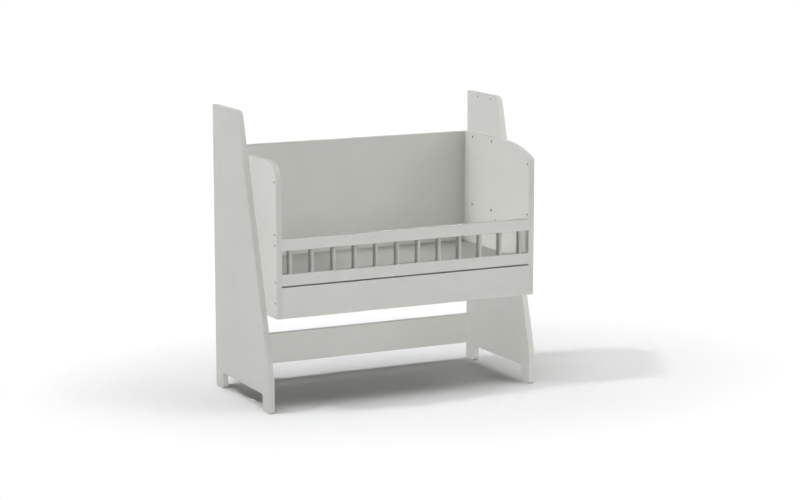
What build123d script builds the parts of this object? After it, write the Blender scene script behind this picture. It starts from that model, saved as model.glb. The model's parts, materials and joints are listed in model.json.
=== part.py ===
from build123d import *
import os

# Convertible bedside crib, in millimetres. X runs along the crib, Y to its back and Z up.
# The origin is on the floor, under the middle of the crib.

# Crib body
inner_length = 820.0
crib_depth = 436.0
crib_bottom = 287.0
crib_height = 458.0
end_thickness = 18.0
back_thickness = 18.0
left_corner_radius = 55.0
sweep_length = 171.0
sweep_drop = 37.0
sweep_nose_radius = 12.0
edge_radius = 1.5

# Stands and stretcher
stand_thickness = 18.0
stand_rise = 128.0
stand_top_depth = 197.0
stand_corner_radius = 25.0
foot_setback = 21.0
foot_upright = 105.0
knee_radius = 60.0
front_foot_depth = 51.0
rear_foot_depth = 55.0
arch_height = 51.0
arch_corner_radius = 6.0
foot_inner_radius = 14.0
foot_outer_radius = 9.0
stretcher_thickness = 18.0
stretcher_height = 95.0
stretcher_rise = 54.0

# Front apron and low barrier
apron_thickness = 22.0
apron_height = 92.0
groove_height = 4.0
rail_thickness = 22.0
bottom_rail_height = 35.0
top_rail_height = 35.0
barrier_opening = 69.0
spindle_count = 12
spindle_diameter = 16.0
spindle_end_distance = 27.75
tenon_diameter = 12.0
tenon_length = 12.0
tenon_hole_depth = 12.5

# Base board and the battens that it lies on
base_thickness = 15.0
base_side_clearance = 2.0
base_edge_clearance = 1.0
batten_width = 20.0
batten_height = 30.0
side_batten_screws = 3
long_batten_screws = 4
long_screw_spacing = 240.0
side_screw_margin = 40.0

# Clearances of the fittings, on the radius where they are round
fit = 0.05
bolt_clearance = 0.25
head_clearance = 0.2
end_clearance = 0.3

# Bolts that hold the crib body to the stands
body_bolt_diameter = 6.0
body_bolt_head = 10.0
body_bolt_head_height = 6.0
body_bolt_key = 5.0
body_bolt_drop = 12.0
body_bolt_spacing = 217.4
body_bolt_margin = 40.7
bolt_back_distance = 70.0
insert_diameter = 10.0
insert_length = 13.0

# Bolts that hold the barrier and the apron to the end panels
rail_bolt_diameter = 5.0
rail_bolt_head = 8.5
rail_bolt_head_height = 5.0
rail_bolt_key = 4.0
bottom_rail_bolt_rise = 11.0
barrel_nut_diameter = 10.0
barrel_nut_length = 14.0
barrel_nut_inset = 50.0
bolt_overrun = 2.0
socket_depth = 3.0

# Vacant holes
upper_section_rise = 12.5
upper_section_drop = 55.5
spare_hole_diameter = 5.0
spare_hole_depth = 11.0
spare_hole_forward = 30.0
spare_hole_below = 28.6
top_pair_margin = 44.0
top_pair_drop = 12.5

# Dowels
dowel_diameter = 8.0
dowel_in_end = 12.0
dowel_in_board = 18.0
rail_dowel_diameter = 6.0
rail_dowel_in_board = 12.0
rail_dowel_offset = 11.0
apron_dowel_spacing = 56.0
stretcher_dowel_spacing = 56.0

# Cam fittings at the back
cam_diameter = 15.0
cam_height = 12.3
cam_inset = 34.0
cam_sink = 0.2
cam_slot_length = 8.0
cam_slot_width = 1.2
cam_slot_depth = 2.0
cam_pin_diameter = 6.0
cam_pin_thread = 5.0
cam_pin_thread_length = 11.0
cam_pin_overrun = 2.0
back_cam_margin = 40.0
back_cam_count = 3

# Batten screws
screw_diameter = 4.0
screw_head = 8.0
screw_length = 32.0

# Places across the crib
half_inner = inner_length / 2
end_outer = half_inner + end_thickness
front_y = -crib_depth / 2
back_y = crib_depth / 2
rail_y = front_y + rail_thickness / 2
apron_y = front_y + apron_thickness / 2
back_panel_y = back_y - back_thickness / 2
stretcher_y = back_y - stretcher_thickness / 2
batten_front_y = front_y + apron_thickness
batten_back_y = back_y - back_thickness

# Heights
crib_top = crib_bottom + crib_height
stand_height = crib_top + stand_rise
apron_top = crib_bottom + apron_height
bottom_rail_base = apron_top + groove_height
bottom_rail_top = bottom_rail_base + bottom_rail_height
top_rail_base = bottom_rail_top + barrier_opening
top_rail_top = top_rail_base + top_rail_height
top_rail_bolt_z = top_rail_base + top_rail_height / 2
bottom_rail_bolt_z = bottom_rail_base + bottom_rail_bolt_rise
apron_z = crib_bottom + apron_height / 2
back_panel_z = crib_bottom + crib_height / 2
stretcher_z = stretcher_rise + stretcher_height / 2
batten_z = apron_top - batten_height / 2

# The front of a stand, at its foot, at its top and on the slant where the upper body bolts are
foot_y = front_y + foot_setback
stand_top_y = back_y - stand_top_depth
slant = (stand_top_y - foot_y) / (stand_height - foot_upright)
body_bolt_top = crib_top - body_bolt_drop
slant_y = foot_y + slant * (body_bolt_top - foot_upright)

# Fittings, as places (y, z) on the end panels and the stands
bolt_back_y = back_y - bolt_back_distance
bolt_front_y = slant_y + body_bolt_margin
body_bolt_base = body_bolt_top - body_bolt_spacing
body_bolt_spots = [(y, z) for y in (bolt_front_y, bolt_back_y) for z in (body_bolt_base, body_bolt_top)]
barrier_bolt_spots = [(rail_y, top_rail_bolt_z), (rail_y, bottom_rail_bolt_z)]
apron_bolt_spots = [(apron_y, apron_z)]
upper_section_spots = [(rail_y, top_rail_top + upper_section_rise), (rail_y, crib_top - upper_section_drop)]
spare_spots = [(bolt_front_y - spare_hole_forward, body_bolt_base - spare_hole_below)]
top_pair_spots = [(y, stand_height - top_pair_drop) for y in (stand_top_y + top_pair_margin, bolt_back_y)]
top_rail_dowel_spots = [(rail_y, top_rail_bolt_z - rail_dowel_offset)]
bottom_rail_dowel_spots = [(rail_y, bottom_rail_bolt_z + rail_dowel_offset)]
rail_dowel_spots = top_rail_dowel_spots + bottom_rail_dowel_spots
apron_dowel_spots = [(apron_y, apron_z + side * apron_dowel_spacing / 2) for side in (-1, 1)]
cam_pitch = (crib_height - 2 * back_cam_margin) / (back_cam_count - 1)
back_cam_spots = [
    (back_panel_y, crib_bottom + back_cam_margin + row * cam_pitch) for row in range(back_cam_count)
]
back_dowel_spots = [(y, z + cam_pitch / 2) for y, z in back_cam_spots[:-1]]
stretcher_cam_spots = [(stretcher_y, stretcher_z)]
stretcher_dowel_spots = [(stretcher_y, stretcher_z + side * stretcher_dowel_spacing / 2) for side in (-1, 1)]

# Battens: side ones run between the front and the back ones
side_batten_front = batten_front_y + batten_width
side_batten_back = batten_back_y - batten_width
side_batten_y = (side_batten_front + side_batten_back) / 2
side_screw_pitch = (side_batten_back - side_batten_front - 2 * side_screw_margin) / (side_batten_screws - 1)
side_screw_spots = [
    (side_batten_front + side_screw_margin + row * side_screw_pitch, batten_z)
    for row in range(side_batten_screws)
]
long_screw_x = [(row - (long_batten_screws - 1) / 2) * long_screw_spacing for row in range(long_batten_screws)]

# Spindles stand evenly along the barrier
spindle_pitch = (inner_length - 2 * spindle_end_distance) / (spindle_count - 1)
spindle_x = [-half_inner + spindle_end_distance + row * spindle_pitch for row in range(spindle_count)]

# Recesses that the heads and the inserts lie in
body_bolt_recess = body_bolt_head_height + end_clearance
rail_bolt_recess = rail_bolt_head_height + end_clearance
body_bolt_length = end_thickness - body_bolt_recess + end_clearance + insert_length
nut_end = barrel_nut_inset + barrel_nut_diameter / 2 + bolt_overrun
rail_bolt_length = end_thickness - rail_bolt_recess + nut_end

# How a block lies on its place: standing on it, or hanging from it
upward = (Align.CENTER, Align.CENTER, Align.MIN)
downward = (Align.CENTER, Align.CENTER, Align.MAX)


def planes(points, direction):
    """One plane at each point, all facing the same way."""
    return [Plane(origin=point, z_dir=direction) for point in points]


def on_side(side, x, spots, outward=1):
    """Planes square to X at the right (side 1) or left (side -1), at places (y, z), facing out or in (-1)."""
    return planes([(side * x, y, z) for y, z in spots], (side * outward, 0, 0))


def on_both_sides(x, spots, outward=1):
    """The same planes at the left and at the right."""
    return on_side(-1, x, spots, outward) + on_side(1, x, spots, outward)


def save(piece, label):
    """Names a finished piece and writes it."""
    piece.part.label = label
    export_step(piece.part, f"parts/{label}.step")


def stand(side):
    """A tall board: upright at the back, slanted at the front, with an arch between its two feet."""
    arch_front = foot_y + front_foot_depth
    arch_back = back_y - rear_foot_depth
    corners = (
        ((stand_top_y, stand_height), stand_corner_radius),
        ((foot_y, foot_upright), knee_radius),
        ((foot_y, 0), foot_outer_radius),
        ((arch_front, 0), foot_inner_radius),
        ((arch_front, arch_height), arch_corner_radius),
        ((arch_back, arch_height), arch_corner_radius),
        ((arch_back, 0), foot_inner_radius),
        ((back_y, 0), foot_outer_radius),
    )
    with BuildPart() as board:
        with BuildSketch(Plane.YZ.offset(side * end_outer)) as outline:
            with BuildLine():
                Polyline(
                    (foot_y, 0), (foot_y, foot_upright), (stand_top_y, stand_height),
                    (back_y, stand_height), (back_y, 0), close=True,
                )
            make_face()
            with Locations(((arch_front + arch_back) / 2, arch_height / 2)):
                Rectangle(arch_back - arch_front, arch_height, mode=Mode.SUBTRACT)
            for corner, radius in corners:
                fillet(outline.vertices().sort_by_distance(corner)[0], radius)
        extrude(amount=side * stand_thickness)
        fillet(board.faces().filter_by(Axis.X).edges(), edge_radius)
        with Locations(*on_side(side, end_outer, body_bolt_spots, outward=-1)):
            Hole(insert_diameter / 2 + fit, depth=insert_length + 2 * end_clearance)
        with Locations(*on_side(side, end_outer, top_pair_spots, outward=-1)):
            Hole(spare_hole_diameter / 2, depth=spare_hole_depth)
        with Locations(*on_side(side, end_outer, stretcher_cam_spots, outward=-1)):
            Hole(cam_pin_thread / 2 + fit, depth=cam_pin_thread_length + end_clearance)
        with Locations(*on_side(side, end_outer, stretcher_dowel_spots, outward=-1)):
            Hole(dowel_diameter / 2 + fit, depth=dowel_in_end + end_clearance)
    return board


def end_panel(side, swept):
    """An end of the crib body. Its top front corner is a long low sweep, or a plain rounding."""
    nose_z = crib_top - sweep_drop if swept else crib_top
    nose_radius = sweep_nose_radius if swept else left_corner_radius
    sweep_start = (front_y + sweep_length, crib_top)
    with BuildPart() as board:
        with BuildSketch(Plane.YZ.offset(side * half_inner)) as outline:
            with BuildLine():
                below = Polyline((front_y, nose_z), (front_y, crib_bottom), (back_y, crib_bottom), (back_y, crib_top))
                Line(below @ 1, sweep_start)
                if swept:
                    TangentArc(sweep_start, below @ 0, tangent=(-1, 0))
                else:
                    Line(sweep_start, below @ 0)
            make_face()
            fillet(outline.vertices().sort_by_distance((front_y, nose_z))[0], nose_radius)
        extrude(amount=side * end_thickness)
        outer_face = board.faces().filter_by(Axis.X).sort_by(Axis.X)[-1 if side > 0 else 0]
        fillet(outer_face.edges(), edge_radius)
        with Locations(*on_side(side, half_inner, body_bolt_spots, outward=-1)):
            CounterBoreHole(
                body_bolt_diameter / 2 + bolt_clearance,
                body_bolt_head / 2 + head_clearance,
                body_bolt_recess,
            )
        with Locations(*on_side(side, end_outer, barrier_bolt_spots + apron_bolt_spots)):
            CounterBoreHole(
                rail_bolt_diameter / 2 + bolt_clearance,
                rail_bolt_head / 2 + head_clearance,
                rail_bolt_recess,
            )
        with Locations(*on_side(side, end_outer, upper_section_spots)):
            Hole(rail_bolt_diameter / 2 + bolt_clearance)
        with Locations(*on_side(side, half_inner, spare_spots, outward=-1)):
            Hole(spare_hole_diameter / 2, depth=spare_hole_depth)
        with Locations(*on_side(side, half_inner, rail_dowel_spots, outward=-1)):
            Hole(rail_dowel_diameter / 2 + fit, depth=dowel_in_end + end_clearance)
        with Locations(*on_side(side, half_inner, apron_dowel_spots + back_dowel_spots, outward=-1)):
            Hole(dowel_diameter / 2 + fit, depth=dowel_in_end + end_clearance)
        with Locations(*on_side(side, half_inner, back_cam_spots, outward=-1)):
            Hole(cam_pin_thread / 2 + fit, depth=cam_pin_thread_length + end_clearance)
        with Locations(*on_side(side, half_inner, side_screw_spots, outward=-1)):
            Hole(screw_diameter / 2 + fit, depth=screw_length - batten_width + end_clearance)
    return board


def cam_board(x, y, bottom, thickness, height, cam_spots, dowel_spots):
    """A board at the back, held at both ends by cam fittings and dowels."""
    face_y = y + thickness / 2
    with BuildPart() as board:
        with Locations((0, y, bottom)):
            Box(2 * x, thickness, height, align=upward)
        fillet(board.edges().filter_by(Axis.X), edge_radius)
        with Locations(*on_both_sides(x, cam_spots)):
            Hole(cam_pin_diameter / 2 + bolt_clearance, depth=cam_inset)
        with Locations(*cam_faces(x, face_y, cam_spots)):
            Hole(cam_diameter / 2 + fit, depth=cam_sink + cam_height)
        with Locations(*on_both_sides(x, dowel_spots)):
            Hole(dowel_diameter / 2 + fit, depth=dowel_in_board + end_clearance)
    return board


def cam_faces(x, face_y, spots):
    """Planes on the rear face of a board, over the cams at its two ends."""
    return planes([(side * (x - cam_inset), face_y, z) for side in (-1, 1) for y, z in spots], (0, 1, 0))


def cams(x, face_y, spots):
    """Cams with a cross slot at the back and a pocket for the pin."""
    tops = cam_faces(x, face_y - cam_sink, spots)
    with BuildPart() as discs:
        with Locations(*tops):
            Cylinder(cam_diameter / 2, cam_height, align=downward)
        with Locations(*on_both_sides(x, spots)):
            Hole(cam_pin_diameter / 2 + bolt_clearance, depth=cam_inset + cam_pin_overrun + end_clearance)
        with BuildSketch(*tops):
            Rectangle(cam_slot_length, cam_slot_width)
            Rectangle(cam_slot_width, cam_slot_length)
        extrude(amount=-cam_slot_depth, mode=Mode.SUBTRACT)
    return discs


def cam_pins(x, spots):
    """Pins screwed into the neighbour at x, which reach into the cams."""
    shank_length = cam_inset + cam_pin_overrun
    with BuildPart() as rods:
        with Locations(*on_both_sides(x - shank_length, spots)):
            Cylinder(cam_pin_diameter / 2, shank_length, align=upward)
            Cylinder(cam_pin_thread / 2, shank_length + cam_pin_thread_length, align=upward)
    return rods


def dowels(x, spots, diameter, in_board):
    """Beech dowels across the joints at x, at both ends."""
    with BuildPart() as rods:
        with Locations(*on_both_sides(x - in_board, spots)):
            Cylinder(diameter / 2, in_board + dowel_in_end, align=upward)
    return rods


def socket_bolts(tops, shank, head, head_height, key, length):
    """Socket head bolts, each with the top of its head on a plane."""
    with BuildPart() as bolts:
        with Locations(*tops):
            Cylinder(head / 2, head_height, align=downward)
            Cylinder(shank / 2, head_height + length, align=downward)
        with BuildSketch(*tops):
            RegularPolygon(key / 2, 6, major_radius=False)
        extrude(amount=-socket_depth, mode=Mode.SUBTRACT)
    return bolts


def rail_bolts(spots):
    """Bolts along the front edge of the end panels, with their heads on the outside."""
    tops = on_both_sides(end_outer - end_clearance, spots)
    return socket_bolts(
        tops, rail_bolt_diameter, rail_bolt_head, rail_bolt_head_height, rail_bolt_key, rail_bolt_length
    )


def barrel_nuts(spots):
    """Cross nuts in the rails or the apron, each with a bore for its bolt."""
    middles = [(side * (half_inner - barrel_nut_inset), y, z) for side in (-1, 1) for y, z in spots]
    with BuildPart() as nuts:
        with Locations(*planes(middles, (0, 1, 0))):
            Cylinder(barrel_nut_diameter / 2, barrel_nut_length)
        with Locations(*planes(middles, (1, 0, 0))):
            Cylinder(rail_bolt_diameter / 2 + fit, 2 * barrel_nut_diameter, mode=Mode.SUBTRACT)
    return nuts


def front_board(y, bottom, thickness, height, bolt_spots, dowel_spots, dowel_size, dowel_depth):
    """A board at the front, with its bolt and dowel holes at both ends and the holes for its cross nuts."""
    nut_x = half_inner - barrel_nut_inset
    nut_mouths = [(side * nut_x, y + thickness / 2, z) for side in (-1, 1) for spot_y, z in bolt_spots]
    nut_hole_depth = thickness / 2 + barrel_nut_length / 2 + end_clearance
    with BuildPart() as board:
        with Locations((0, y, bottom)):
            Box(inner_length, thickness, height, align=upward)
        fillet(board.edges().filter_by(Axis.X), edge_radius)
        with Locations(*on_both_sides(half_inner, bolt_spots)):
            Hole(rail_bolt_diameter / 2 + bolt_clearance, depth=nut_end + end_clearance)
        with Locations(*planes(nut_mouths, (0, 1, 0))):
            Hole(barrel_nut_diameter / 2 + fit, depth=nut_hole_depth)
        with Locations(*on_both_sides(half_inner, dowel_spots)):
            Hole(dowel_size / 2 + fit, depth=dowel_depth + end_clearance)
    return board


def rail(bottom, height, bolt_spots, dowel_spots, tenon_z, tenon_mouth):
    """A rail of the barrier, with blind holes for the spindles' tenons in its upper or lower face."""
    blank = front_board(
        rail_y, bottom, rail_thickness, height, bolt_spots, dowel_spots, rail_dowel_diameter, rail_dowel_in_board
    )
    with BuildPart() as bar:
        add(blank.part)
        with Locations(*planes([(x, rail_y, tenon_z) for x in spindle_x], (0, 0, tenon_mouth))):
            Hole(tenon_diameter / 2 + fit, depth=tenon_hole_depth)
    return bar


def spindle(x):
    """A round bar with a thinner tenon at each end."""
    with BuildPart() as bar:
        with Locations((x, rail_y, bottom_rail_top)):
            Cylinder(spindle_diameter / 2, barrier_opening, align=upward)
        with Locations((x, rail_y, bottom_rail_top - tenon_length)):
            Cylinder(tenon_diameter / 2, barrier_opening + 2 * tenon_length, align=upward)
    return bar


def batten(x, y, length_x, length_y, screw_planes):
    """A strip with countersunk screw holes, level with the top of the apron."""
    with BuildPart() as strip:
        with Locations((x, y, apron_top)):
            Box(length_x, length_y, batten_height, align=downward)
        with Locations(*screw_planes):
            CounterSinkHole(screw_diameter / 2 + fit, screw_head / 2 + fit)
    return strip


def wood_screws(heads):
    """Countersunk screws with their heads level with the planes."""
    head_height = (screw_head - screw_diameter) / 2
    with BuildPart() as screws:
        with Locations(*heads):
            Cone(screw_diameter / 2, screw_head / 2, head_height, align=downward)
            Cylinder(screw_diameter / 2, screw_length, align=downward)
    return screws


def screw_holes(board, points, direction):
    """The same board with blind pilot holes for the batten screws."""
    with BuildPart() as drilled:
        add(board.part)
        with Locations(*planes(points, direction)):
            Hole(screw_diameter / 2 + fit, depth=screw_length - batten_width + end_clearance)
    return drilled


os.makedirs("parts", exist_ok=True)

# Stands and stretcher
save(stand(-1), "stand_left")
save(stand(1), "stand_right")
save(
    cam_board(
        end_outer, stretcher_y, stretcher_rise, stretcher_thickness, stretcher_height,
        stretcher_cam_spots, stretcher_dowel_spots,
    ),
    "stretcher",
)

# Crib body
save(end_panel(-1, swept=False), "end_panel_left")
save(end_panel(1, swept=True), "end_panel_right")
back_blank = cam_board(
    half_inner, back_panel_y, crib_bottom, back_thickness, crib_height, back_cam_spots, back_dowel_spots
)
save(screw_holes(back_blank, [(x, batten_back_y, batten_z) for x in long_screw_x], (0, -1, 0)), "back_panel")
apron_blank = front_board(
    apron_y, crib_bottom, apron_thickness, apron_height,
    apron_bolt_spots, apron_dowel_spots, dowel_diameter, dowel_in_board,
)
save(screw_holes(apron_blank, [(x, batten_front_y, batten_z) for x in long_screw_x], (0, 1, 0)), "front_apron")

# Low barrier
top_rail = rail(
    top_rail_base, top_rail_height, barrier_bolt_spots[:1], top_rail_dowel_spots, top_rail_base, tenon_mouth=-1
)
save(top_rail, "barrier_top_rail")
bottom_rail = rail(
    bottom_rail_base, bottom_rail_height, barrier_bolt_spots[1:], bottom_rail_dowel_spots, bottom_rail_top,
    tenon_mouth=1,
)
save(bottom_rail, "barrier_bottom_rail")
for number, x in enumerate(spindle_x, start=1):
    save(spindle(x), f"spindle_{number:02d}")

# Battens and the screws that hold them
side_batten_length = side_batten_back - side_batten_front
side_batten_x = half_inner - batten_width / 2
left_screws = on_side(-1, half_inner - batten_width, side_screw_spots, outward=-1)
right_screws = on_side(1, half_inner - batten_width, side_screw_spots, outward=-1)
front_screws = planes([(x, side_batten_front, batten_z) for x in long_screw_x], (0, 1, 0))
back_screws = planes([(x, side_batten_back, batten_z) for x in long_screw_x], (0, -1, 0))
save(batten(-side_batten_x, side_batten_y, batten_width, side_batten_length, left_screws), "batten_left")
save(batten(side_batten_x, side_batten_y, batten_width, side_batten_length, right_screws), "batten_right")
save(batten(0, batten_front_y + batten_width / 2, inner_length, batten_width, front_screws), "batten_front")
save(batten(0, batten_back_y - batten_width / 2, inner_length, batten_width, back_screws), "batten_back")
save(wood_screws(left_screws + right_screws + front_screws + back_screws), "batten_screws")

# Base board, which lies loose on the battens
base_front = front_y + rail_thickness + base_edge_clearance
base_back = batten_back_y - base_edge_clearance
with BuildPart() as base_board:
    with Locations((0, (base_front + base_back) / 2, apron_top)):
        Box(inner_length - 2 * base_side_clearance, base_back - base_front, base_thickness, align=upward)
save(base_board, "base_board")

# Bolts between the crib body and the stands, and the inserts that they screw into
for side, name in ((-1, "left"), (1, "right")):
    heads = on_side(side, half_inner + end_clearance, body_bolt_spots, outward=-1)
    bolts = socket_bolts(
        heads, body_bolt_diameter, body_bolt_head, body_bolt_head_height, body_bolt_key, body_bolt_length
    )
    save(bolts, f"body_bolts_{name}")
    with BuildPart() as inserts:
        with Locations(*on_side(side, end_outer + end_clearance, body_bolt_spots)):
            Cylinder(insert_diameter / 2, insert_length, align=upward)
            Cylinder(body_bolt_diameter / 2 + fit, insert_length, align=upward, mode=Mode.SUBTRACT)
    save(inserts, f"insert_nuts_{name}")

# Bolts, cross nuts and dowels of the barrier and the apron
save(rail_bolts(barrier_bolt_spots), "barrier_bolts")
save(barrel_nuts(barrier_bolt_spots), "barrier_barrel_nuts")
save(rail_bolts(apron_bolt_spots), "apron_bolts")
save(barrel_nuts(apron_bolt_spots), "apron_barrel_nuts")
save(dowels(half_inner, rail_dowel_spots, rail_dowel_diameter, rail_dowel_in_board), "rail_dowels")
save(dowels(half_inner, apron_dowel_spots, dowel_diameter, dowel_in_board), "apron_dowels")

# Cam fittings and dowels of the back panel and the stretcher
save(cams(half_inner, back_y, back_cam_spots), "back_panel_cams")
save(cam_pins(half_inner, back_cam_spots), "back_panel_cam_pins")
save(dowels(half_inner, back_dowel_spots, dowel_diameter, dowel_in_board), "back_panel_dowels")
save(cams(end_outer, back_y, stretcher_cam_spots), "stretcher_cams")
save(cam_pins(end_outer, stretcher_cam_spots), "stretcher_cam_pins")
save(dowels(end_outer, stretcher_dowel_spots, dowel_diameter, dowel_in_board), "stretcher_dowels")
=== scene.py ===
# %% [markdown]
# # A bedside crib in grey lacquer
# The crib is flat board furniture: two tall stands, a crib body bolted between them and a low barrier of turned
# bars. All of its pieces come from the CAD frame at their real size, so this script never models a board again.
# What is left for Blender is what the eye reads as real: how lacquer lies on a board, how a sawn edge differs
# from a face, what raw board looks like inside a drilled hole, and a light that shows it all. Some colours carry
# painted shade: inside the holes and the bolts' sockets, over the base board, the bars and the floor near the
# crib; where faces meet they carry a painted highlight.

# %% Tools and the fixed frame
import json
import math

import bpy
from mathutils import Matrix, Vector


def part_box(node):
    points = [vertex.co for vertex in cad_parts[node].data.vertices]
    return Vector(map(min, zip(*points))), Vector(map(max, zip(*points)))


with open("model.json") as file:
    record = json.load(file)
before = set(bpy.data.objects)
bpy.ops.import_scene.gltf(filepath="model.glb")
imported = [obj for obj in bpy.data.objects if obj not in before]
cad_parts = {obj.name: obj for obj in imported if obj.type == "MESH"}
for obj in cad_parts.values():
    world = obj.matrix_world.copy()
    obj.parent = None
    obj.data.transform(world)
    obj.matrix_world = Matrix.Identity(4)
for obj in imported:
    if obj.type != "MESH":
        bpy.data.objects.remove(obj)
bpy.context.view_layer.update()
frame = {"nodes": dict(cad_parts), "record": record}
nodes = frame["nodes"]
mounts = {mount["name"]: mount for mount in frame["record"]["mounts"]}

# %% [markdown]
# ## The photograph's camera
# A camera is found again from the straight edges of the boards: the vanishing directions give its heading and
# pitch, and the known width between the end panels gives its distance. It stands about seven metres away with a
# long lens, so the crib is drawn almost without perspective. The values below are that fit, in metres and degrees.

# %% The camera
CAMERA_PLACE = (-2.9994, -6.2002, 1.6535)
CAMERA_HEADING = 26.41
CAMERA_PITCH = 10.12
LENS = 102.8

camera_data = bpy.data.cameras.new("photograph_camera")
camera_data.lens = LENS
camera_data.sensor_width = 36
camera = bpy.data.objects.new("photograph_camera", camera_data)
camera.location = CAMERA_PLACE
camera.rotation_euler = (math.radians(90 - CAMERA_PITCH), 0, math.radians(-CAMERA_HEADING))
bpy.context.scene.collection.objects.link(camera)
bpy.context.scene.camera = camera
print("camera", round(math.dist(CAMERA_PLACE, (0, 0, 0.4)), 2), "m from the middle of the crib")

# %% [markdown]
# ## Writing shaders as sums
# A material is a graph of nodes, which is slow to read as a list of links. Two small classes let it be written
# as arithmetic instead. A Wire is one output socket, and adding or multiplying wires adds Math nodes. A Finish is
# one material, and its node method adds any other node: settings first, then what goes into its sockets.


# %% A wire and a finish
class Wire:
    """An output socket, with the arithmetic that the finishes below use."""

    def __init__(self, finish, socket):
        self.finish = finish
        self.socket = socket

    def math(self, operation, first, second=0.0):
        return self.finish.node("ShaderNodeMath", {"operation": operation}, {0: first, 1: second})

    def __add__(self, other):
        return self.math("ADD", self, other)

    def __sub__(self, other):
        return self.math("SUBTRACT", self, other)

    def __rsub__(self, other):
        return self.math("SUBTRACT", other, self)

    def __mul__(self, other):
        return self.math("MULTIPLY", self, other)

    __radd__ = __add__
    __rmul__ = __mul__

    def size(self):
        """The value without its sign."""
        return self.math("ABSOLUTE", self)

    def clamped(self):
        return self.finish.node("ShaderNodeClamp", {}, {"Value": self})

    def ramp(self, low, high):
        """0 below low, 1 above high, and smooth between them."""
        settings = {"interpolation_type": "SMOOTHSTEP"}
        return self.finish.node("ShaderNodeMapRange", settings, {"Value": self, "From Min": low, "From Max": high})


class Finish:
    """A material with a Principled shader, built node by node."""

    def __init__(self, name):
        self.material = bpy.data.materials.new(name)
        self.material.use_nodes = True
        self.tree = self.material.node_tree
        self.shader = self.tree.nodes["Principled BSDF"]

    def node(self, kind, settings=None, sockets=None, output=0):
        made = self.tree.nodes.new(kind)
        for name, value in (settings or {}).items():
            setattr(made, name, value)
        for name, value in (sockets or {}).items():
            self.feed(made.inputs[name], value)
        return Wire(self, made.outputs[output])

    def feed(self, socket, value):
        if isinstance(value, Wire):
            self.tree.links.new(value.socket, socket)
        else:
            socket.default_value = value

    def set(self, **values):
        """Feeds the Principled shader, with its sockets' names written with underscores."""
        for name, value in values.items():
            self.feed(self.shader.inputs[name.replace("_", " ")], value)

    def place(self):
        """Where a point is on the object, in metres."""
        return self.node("ShaderNodeTexCoord", output="Object")

    def noise(self, scale, detail=2.0, roughness=0.5, stretch=(1, 1, 1)):
        """Noise of about 1 / scale metres, drawn out along an axis where stretch is under 1."""
        place = self.vector("MULTIPLY", self.place(), stretch)
        sockets = {"Vector": place, "Scale": scale, "Detail": detail, "Roughness": roughness}
        return self.node("ShaderNodeTexNoise", {}, sockets)

    def vector(self, operation, first, second, output=0):
        return self.node("ShaderNodeVectorMath", {"operation": operation}, {0: first, 1: second}, output)

    def mix(self, share, first, second):
        """The first colour where share is 0 and the second where it is 1."""
        return self.node("ShaderNodeMix", {"data_type": "RGBA"}, {0: share, 6: first, 7: second}, output=2)

    def bump(self, height, distance, strength=1.0, normal=None):
        sockets = {"Height": height, "Distance": distance, "Strength": strength}
        if normal is not None:
            sockets["Normal"] = normal
        return self.node("ShaderNodeBump", {}, sockets)


def paint(red, green, blue):
    """A colour read off a screen, from 0 to 255, as the linear colour that a shader needs."""
    def linear(level):
        share = level / 255
        return share / 12.92 if share <= 0.04045 else ((share + 0.055) / 1.055) ** 2.4
    return (linear(red), linear(green), linear(blue), 1.0)


def shade(colour, factor):
    """The same colour, lighter or darker."""
    return tuple(channel * factor for channel in colour[:3]) + (1.0,)


print("one Wire class and one Finish class are ready")

# %% [markdown]
# ## Grey lacquer on board
# The boards are sprayed with a warm light grey, satin and opaque. Three things keep such a surface from looking
# like flat plastic. The spray settles into a very fine orange peel, which a bump makes. The tone wanders by about
# a hundredth over a hand's width. And the sawn edges drink more lacquer than the faces, so they end up a touch
# darker, rougher and faintly ribbed. Which part of a board is edge follows from its normal: a stand's faces look
# along X, so wherever its normal leaves X, the shader is on an edge. A Bevel node rounds the light where faces
# meet by about a millimetre, as sanding does, without touching the mesh, and there the colour is made a touch
# lighter as a painted highlight. A factor under 1 darkens a board's whole colour as painted shade.

# %% Grey lacquer
LACQUER_GREY = paint(198, 199, 194)
# Raw board's colour, made darker as painted shade for inside the holes.
HOLE_RAW_AND_SHADE = paint(74, 66, 58)
AXES = {"X": (1, 0, 0), "Y": (0, 1, 0), "Z": (0, 0, 1)}


def hole_mask(finish, holes):
    """1 inside the given holes and 0 elsewhere. A hole is (y, z, radius, reach) of an axis along X, where reach is
    how far from the middle of the crib the hole goes."""
    place = finish.place()
    across = finish.vector("MULTIPLY", place, (0, 1, 1))
    from_middle = finish.node("ShaderNodeSeparateXYZ", {}, {"Vector": place}).size()
    mask = None
    for y, z, radius, reach in holes:
        distance = finish.vector("DISTANCE", across, (0, y, z), output="Value")
        inside = (1 - distance.ramp(radius + 0.0001, radius + 0.0004)) * (1 - from_middle.ramp(reach, reach + 0.0002))
        mask = inside if mask is None else (mask + inside).clamped()
    return mask


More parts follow.
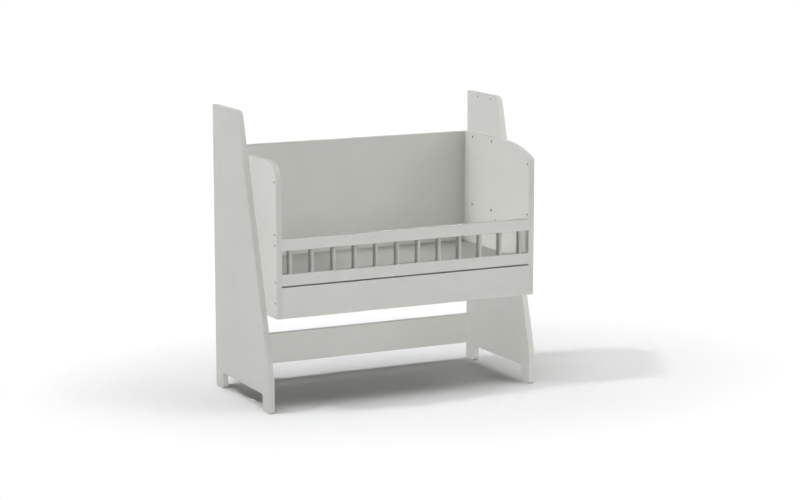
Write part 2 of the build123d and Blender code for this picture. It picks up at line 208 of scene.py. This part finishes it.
def grey_lacquer(name, face_axis, holes=(), painted_shade_factor=1.0):
    """Satin lacquer on a board whose faces look along one axis, with raw board darkened as painted shade inside its
    holes, a painted highlight where faces meet, and painted shade over the whole colour where the factor is under 1.
    """
    finish = Finish(name)
    normal = finish.node("ShaderNodeTexCoord", output="Normal")
    rounded = finish.node("ShaderNodeBevel", {"samples": 6}, {"Radius": 0.0011})
    sharp = finish.node("ShaderNodeNewGeometry", output="Normal")
    corner_highlight = (1 - finish.vector("DOT_PRODUCT", rounded, sharp, output="Value")).ramp(0.01, 0.22)
    along = finish.vector("DOT_PRODUCT", normal, AXES[face_axis], output="Value")
    edge = 1 - (along * along).ramp(0.2, 0.6)

    tone = finish.noise(7, detail=3)
    fine_tone = finish.noise(60, detail=2)
    peel = finish.noise(620, detail=1.5)
    ribs = finish.noise(240, detail=3, stretch=tuple(6.0 if axis else 0.35 for axis in AXES[face_axis]))

    # Painted shade: the factor scales the whole colour down for a board that sits in shade.
    colour = finish.mix(tone.ramp(0.3, 0.7), shade(LACQUER_GREY, 0.985 * painted_shade_factor), shade(LACQUER_GREY, 1.012 * painted_shade_factor))
    colour = finish.mix(edge * (0.4 + 0.4 * ribs), colour, shade(LACQUER_GREY, 0.955 * painted_shade_factor))
    # Painted highlight: the colour is made a touch lighter where the Bevel rounds the light.
    colour = finish.mix(corner_highlight * 0.5, colour, shade(LACQUER_GREY, 1.025 * painted_shade_factor))
    roughness = 0.46 + 0.08 * tone + 0.05 * fine_tone + 0.1 * edge
    if holes:
        # Raw board inside the holes, darker than raw board is, as painted shade.
        raw_and_shade = hole_mask(finish, holes)
        colour = finish.mix(raw_and_shade, colour, HOLE_RAW_AND_SHADE)
        roughness = roughness + 0.4 * raw_and_shade
    smooth = finish.bump(peel, 0.00004, 0.35, normal=rounded)
    surface = finish.bump(edge * ribs, 0.00008, 0.5, normal=smooth)
    finish.set(Base_Color=colour, Roughness=roughness.clamped(), Normal=surface, Specular_IOR_Level=0.4)
    return finish.material


# %% [markdown]
# ## Where the holes are
# The holes are drilled by the CAD, so their places come from the frame: the bolts that fill some of them, and the
# mounts that name the vacant ones. The shader needs to know them to show raw board inside, because nobody sprays
# the inside of a bolt hole; that raw board is made darker than it is, as painted shade. The bolts' axes also place
# the dark discs of painted shade on the bolt heads.

# %% The places of the holes
VACANT_BOLT_RADIUS = 0.00275
PIN_RADIUS = 0.0025
SPARE_PIN_FORWARD = 0.0300
SPARE_PIN_BELOW = 0.0286


def pair_of(mount_name, spread):
    """The two hole centres of a vacant pair, spread along Y or Z, as (y, z)."""
    mount = mounts[mount_name]
    centre_y, centre_z = mount["pos_m"][1:]
    half = mount["dims"][f"spacing_{'x' if spread == 'Y' else 'y'}_mm"] / 2000
    if spread == "Y":
        return [(centre_y - half, centre_z), (centre_y + half, centre_z)]
    return [(centre_y, centre_z - half), (centre_y, centre_z + half)]


def bolt_axes(node_name):
    """The (y, z) of each bolt's axis, read from the bolts' own mesh: its points gather round the axes."""
    gathered = []
    for vertex in nodes[node_name].data.vertices:
        y, z = vertex.co.y, vertex.co.z
        near = [points for points in gathered if math.dist(points[0], (y, z)) < 0.015]
        if near:
            near[0].append((y, z))
        else:
            gathered.append([(y, z)])
    return [tuple((min(values) + max(values)) / 2 for values in zip(*points)) for points in gathered]


outer_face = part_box("stand_right")[1][0]
panel_outer_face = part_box("end_panel_right")[1][0]
end_panel_holes = [(y, z, VACANT_BOLT_RADIUS, outer_face) for y, z in pair_of("upper_section_right", "Z")]
front_y, lower_z = (min(values) for values in zip(*bolt_axes("body_bolts_right")))
spare_pin = (front_y - SPARE_PIN_FORWARD, lower_z - SPARE_PIN_BELOW)
end_panel_holes.append((*spare_pin, PIN_RADIUS, panel_outer_face - 0.0005))
stand_holes = [(y, z, PIN_RADIUS, outer_face - 0.0005) for y, z in pair_of("stand_top_right", "Y")]
print("vacant holes:", len(end_panel_holes), "in each end panel and", len(stand_holes), "in each stand")


# The radii of the discs of painted shade on the bolt heads.
BODY_KEY_RADIUS = 0.0029
RAIL_KEY_RADIUS = 0.0023
body_sockets = [(y, z, BODY_KEY_RADIUS, 1.0) for y, z in bolt_axes("body_bolts_right")]
rail_sockets = [(y, z, RAIL_KEY_RADIUS, 1.0) for name in ("barrier_bolts", "apron_bolts") for y, z in bolt_axes(name)]
print("bolt axes:", len(body_sockets), "in each end panel's inside,", len(rail_sockets), "on each outside")

# %% [markdown]
# ## Metal and beech
# The bolt heads are coated in the furniture's own grey, so only their sockets show, dark with painted shade.
# Inside the boards there is zinc: bright on turned steel, dull and grainy on the cast cams, which show at the back.
# The dowels are bare beech with their fibres along X. A metal needs little colour variation, and what makes it
# believable is roughness that differs from spot to spot.


# %% Coated bolts, zinc and beech
# Painted shade for the keys' sockets.
SOCKET_SHADE = paint(50, 49, 47)


def coated_bolt():
    """Powder coat in the furniture's grey, with painted shade in the key's socket and a thin ring round it."""
    finish = Finish("coated_bolt")
    pitted = finish.noise(900, detail=2)
    # Painted shade: the key's socket and a thin ring round it are painted dark.
    socket = hole_mask(finish, body_sockets + rail_sockets)
    coat = finish.mix(pitted.ramp(0.3, 0.7), shade(LACQUER_GREY, 0.92), shade(LACQUER_GREY, 1.0))
    finish.set(
        Base_Color=finish.mix(socket, coat, SOCKET_SHADE),
        Roughness=(0.5 + 0.15 * pitted + 0.2 * socket).clamped(),
        Normal=finish.bump(pitted, 0.00005, 0.4),
    )
    return finish.material


def zinc_steel():
    """Turned steel with bright zinc, brushed round by its making."""
    finish = Finish("zinc_steel")
    streaks = finish.noise(500, detail=3, stretch=(0.15, 1, 1))
    stain = finish.noise(90, detail=2)
    finish.set(
        Base_Color=finish.mix(stain.ramp(0.35, 0.65), paint(196, 198, 200), paint(182, 180, 172)),
        Metallic=1.0,
        Roughness=0.28 + 0.2 * streaks,
        Normal=finish.bump(streaks, 0.00003, 0.4),
    )
    return finish.material


def cast_zinc():
    """Cast zinc alloy, dull and finely grained."""
    finish = Finish("cast_zinc")
    grain = finish.noise(1400, detail=3)
    finish.set(
        Base_Color=finish.mix(grain.ramp(0.3, 0.7), paint(160, 162, 165), paint(178, 179, 180)),
        Metallic=1.0,
        Roughness=0.45 + 0.2 * grain,
        Normal=finish.bump(grain, 0.00006, 0.6),
    )
    return finish.material


def beech():
    """Bare beech, with flecks and fibres drawn out along X."""
    finish = Finish("beech")
    fibres = finish.noise(700, detail=4, stretch=(0.06, 1, 1))
    flecks = finish.noise(1500, detail=2, stretch=(0.12, 1, 1)).ramp(0.58, 0.68)
    wood = finish.mix(fibres.ramp(0.3, 0.7), paint(206, 170, 128), paint(226, 194, 154))
    finish.set(
        Base_Color=finish.mix(flecks * 0.5, wood, paint(168, 124, 84)),
        Roughness=0.62 + 0.15 * fibres,
        Normal=finish.bump(fibres, 0.0001, 0.5),
    )
    return finish.material


print("finishes for metal and beech are ready")

# %% [markdown]
# ## Dressing the pieces
# Every piece keeps its CAD mesh and gets a finish. Boards share a finish where their faces look the same way:
# stands and end panels along X, the back panel, apron and rails along Y, the base board along Z. The round bars
# have no edge, so their finish takes the whole surface as face.

# %% Finishes on the pieces
BOARDS = {
    "stand_lacquer": ("X", stand_holes, ("stand_left", "stand_right")),
    "end_panel_lacquer": ("X", end_panel_holes, ("end_panel_left", "end_panel_right")),
    "long_board_lacquer": (
        "Y", (), (
            "back_panel", "front_apron", "stretcher", "barrier_top_rail", "barrier_bottom_rail",
            "batten_front", "batten_back",
        ),
    ),
    "base_board_lacquer": ("Z", (), ("base_board",)),
    "side_batten_lacquer": ("X", (), ("batten_left", "batten_right")),
}
METAL_AND_BEECH = (
    (coated_bolt, ("body_bolts", "barrier_bolts", "apron_bolts")),
    (zinc_steel, ("insert_nuts", "barrier_barrel_nuts", "apron_barrel_nuts", "cam_pins", "batten_screws")),
    (cast_zinc, ("panel_cams", "stretcher_cams")),
    (beech, ("dowels",)),
)


def dress(node, material):
    """Gives a CAD node one material."""
    node.data.materials.clear()
    node.data.materials.append(material)


# Painted shade: the base board and the turned bars get darker copies of the lacquer, for the shade they sit in.
BASE_BOARD_SHADE = 0.84
BAR_SHADE = 0.90
for name, (face_axis, holes, members) in BOARDS.items():
    lacquer = grey_lacquer(name, face_axis, holes, painted_shade_factor=BASE_BOARD_SHADE if name == "base_board_lacquer" else 1.0)
    for member in members:
        dress(nodes[member], lacquer)
print("lacquered boards:", sum(len(members) for face_axis, holes, members in BOARDS.values()))


def round_bar_lacquer():
    """The same lacquer on the turned bars, which take it a little thinner along their length, darkened all over as
    painted shade.
    """
    finish = Finish("round_bar_lacquer")
    peel = finish.noise(620, detail=1.5)
    turned = finish.noise(300, detail=2, stretch=(1, 1, 0.2))
    finish.set(
        Base_Color=finish.mix(turned.ramp(0.3, 0.7), shade(LACQUER_GREY, 0.97 * BAR_SHADE), shade(LACQUER_GREY, BAR_SHADE)),
        Roughness=0.5 + 0.1 * turned,
        Normal=finish.bump(peel, 0.00004, 0.35),
        Specular_IOR_Level=0.4,
    )
    return finish.material


bar_shaded_lacquer = round_bar_lacquer()
for name, node in nodes.items():
    if name.startswith("spindle_"):
        dress(node, bar_shaded_lacquer)

for make, words in METAL_AND_BEECH:
    material = make()
    members = [name for name in nodes if any(word in name for word in words)]
    for member in members:
        dress(nodes[member], material)
    print(material.name, "on", len(members), "nodes")

# %% [markdown]
# ## Floor and light
# The photograph is lit as a product picture: a long light high on the left, whose rays keep to the plane of the
# crib's length, and soft light from all around. So the outer left faces are brightest, the bars lie in the top
# rail's shadow, and the shadow on the floor runs to the right. The floor is white to the camera far from the crib,
# and greyer near it, a little to its right, as painted shade; the crib's shadow falls on it as well.

# %% Floor
FLOOR_SIZE = 60.0

floor_mesh = bpy.data.meshes.new("studio_floor")
half = FLOOR_SIZE / 2
floor_mesh.from_pydata([(-half, -half, 0), (half, -half, 0), (half, half, 0), (-half, half, 0)], [], [(0, 1, 2, 3)])
floor = bpy.data.objects.new("studio_floor", floor_mesh)
bpy.context.scene.collection.objects.link(floor)
# Painted shade: the camera sees the floor greyer near the crib and white farther off.
FLOOR_SHADE_NEAR = 0.81
FLOOR_FAR = 1.0
FLOOR_BOUNCE = 0.5
floor_finish = Finish("studio_floor")
eye = floor_finish.node("ShaderNodeLightPath", output="Is Camera Ray")
mirrored = floor_finish.node("ShaderNodeLightPath", output="Is Glossy Ray")
through = floor_finish.node("ShaderNodeLightPath", output="Is Transmission Ray")
# The painted shade centres a little right of the crib's middle and reaches less far along Y than along X.
around = floor_finish.vector("MULTIPLY", floor_finish.vector("SUBTRACT", floor_finish.place(), (0.2, 0.05, 0)), (1, 1.4, 0))
away = floor_finish.vector("LENGTH", around, (0, 0, 0), output="Value")
seen = floor_finish.mix(away.ramp(0.3, 1.9), (FLOOR_SHADE_NEAR,) * 3 + (1,), (FLOOR_FAR,) * 3 + (1,))
floor_finish.set(
    Base_Color=floor_finish.mix((eye + mirrored + through).clamped(), (FLOOR_BOUNCE,) * 3 + (1,), seen),
    Roughness=0.9,
    Specular_IOR_Level=0.0,
)
floor_mesh.materials.append(floor_finish.material)
print("floor", FLOOR_SIZE, "m")

# %% Lamps
# Each row: name, azimuth and elevation in degrees, how wide the lamp spreads, strength.
LAMPS = (
    ("key_left", 260, 56, 8, 0.277),
    ("softbox_high_right_front", 60, 55, 28, 0.199),
    ("softbox_high_right_back", 120, 72, 28, 0.194),
    ("softbox_low_front_right", 30, 8, 28, 0.159),
    ("softbox_low_front", 0, 8, 28, 0.157),
    ("softbox_back_left", 210, 38, 28, 0.064),
)


def sun(name, azimuth, elevation, spread, strength):
    """A distant lamp. Azimuth 0 shines from the front and 90 from the right, elevation is above the floor."""
    data = bpy.data.lights.new(name, "SUN")
    data.energy = strength * math.pi
    data.angle = math.radians(spread)
    lamp = bpy.data.objects.new(name, data)
    lamp.rotation_euler = (math.radians(90 - elevation), 0, math.radians(azimuth))
    bpy.context.scene.collection.objects.link(lamp)
    return lamp


def group_of(name, members):
    """A collection that a lamp's light linking can name."""
    group = bpy.data.collections.new(name)
    for member in members:
        group.objects.link(member)
    return group


for row in LAMPS:
    sun(*row)
floor_lamp = sun("softbox_over_floor", 300, 72, 28, 0.42)
floor_lamp.light_linking.receiver_collection = group_of("floor_only", [floor])
print("lamps that everything blocks:", len(LAMPS) + 1)

# %% [markdown]
# ## Open fills
# In the photograph the faces of the boards are almost equally light, even deep under the crib, while the floor
# there is dark. Cards and reflectors near each board would do that in a studio. Here fills stand for them, each
# linked to the pieces it lights, so that none can wash out the floor's shadow. Most cast no shadow; three are
# blocked by named pieces alone: the end panels block the back panel's fill, the rails block the bars' fill, and
# the barrier and back panel block the far end panel's fill, so the strip between the rails stays dark.

# %% Open fills
FRONTS = ("front_apron", "barrier_top_rail", "barrier_bottom_rail")
BARS = tuple(name for name in nodes if name.startswith("spindle_"))
ENDS = ("end_panel_left", "end_panel_right")
BACKS = ("back_panel", "stretcher", "stand_left", "stand_right", *ENDS)
# Each row: name, azimuth, elevation, spread, strength, what it lights, what alone can block it.
FILLS = (
    ("near_stand_fill", 305, 5, 28, 0.560, ("stand_left",), ()),
    ("near_panel_fill", 300, 5, 28, 0.640, ("end_panel_left",), ()),
    ("far_stand_fill", 302, 5, 28, 0.680, ("stand_right",), ()),
    ("far_panel_edge_fill", 0, 30, 28, 0.330, ("end_panel_right",), ()),
    ("far_stand_edge_fill", 0, 30, 28, 0.080, ("stand_right",), ()),
    ("stretcher_fill", 0, 5, 28, 0.425, ("stretcher",), ()),
    ("front_fill", 0, 5, 28, 0.355, FRONTS, ()),
    ("behind_fill", 180, 5, 28, 0.400, BACKS, ()),
    ("right_side_fill", 90, 5, 28, 0.450, ("stand_right", "end_panel_right"), ()),
    ("back_panel_fill", 0, 5, 28, 0.250, ("back_panel",), ENDS),
    ("bar_fill", 50, 45, 16, 0.420, BARS, ("barrier_top_rail", "barrier_bottom_rail")),
    ("far_panel_fill", 270, 5, 18, 0.600, ("end_panel_right",), ("back_panel", *BARS, *FRONTS[1:])),
)
for *row, lit, blocking in FILLS:
    fill = sun(*row)
    fill.light_linking.receiver_collection = group_of(fill.name + "_lights", [nodes[name] for name in lit])
    if blocking:
        fill.light_linking.blocker_collection = group_of(fill.name + "_blocks", [nodes[name] for name in blocking])
    else:
        fill.data.use_shadow = False
print("fills:", len(FILLS))

# %% Backdrop
world = bpy.data.worlds.new("studio")
world.use_nodes = True
bpy.context.scene.world = world
world_tree = world.node_tree
light_path = world_tree.nodes.new("ShaderNodeLightPath")
seen = world_tree.nodes.new("ShaderNodeMath")
seen.operation = "MAXIMUM"
seen_through = world_tree.nodes.new("ShaderNodeMath")
seen_through.operation = "MAXIMUM"
world_tree.links.new(light_path.outputs["Is Camera Ray"], seen.inputs[0])
world_tree.links.new(light_path.outputs["Is Glossy Ray"], seen.inputs[1])
world_tree.links.new(seen.outputs[0], seen_through.inputs[0])
world_tree.links.new(light_path.outputs["Is Transmission Ray"], seen_through.inputs[1])
world_tree.nodes["Background"].inputs["Color"].default_value = (1, 1, 1, 1)
world_tree.links.new(seen_through.outputs[0], world_tree.nodes["Background"].inputs["Strength"])
bpy.context.scene.view_settings.view_transform = "Standard"
print("backdrop white to the camera, the reflections and nothing else")
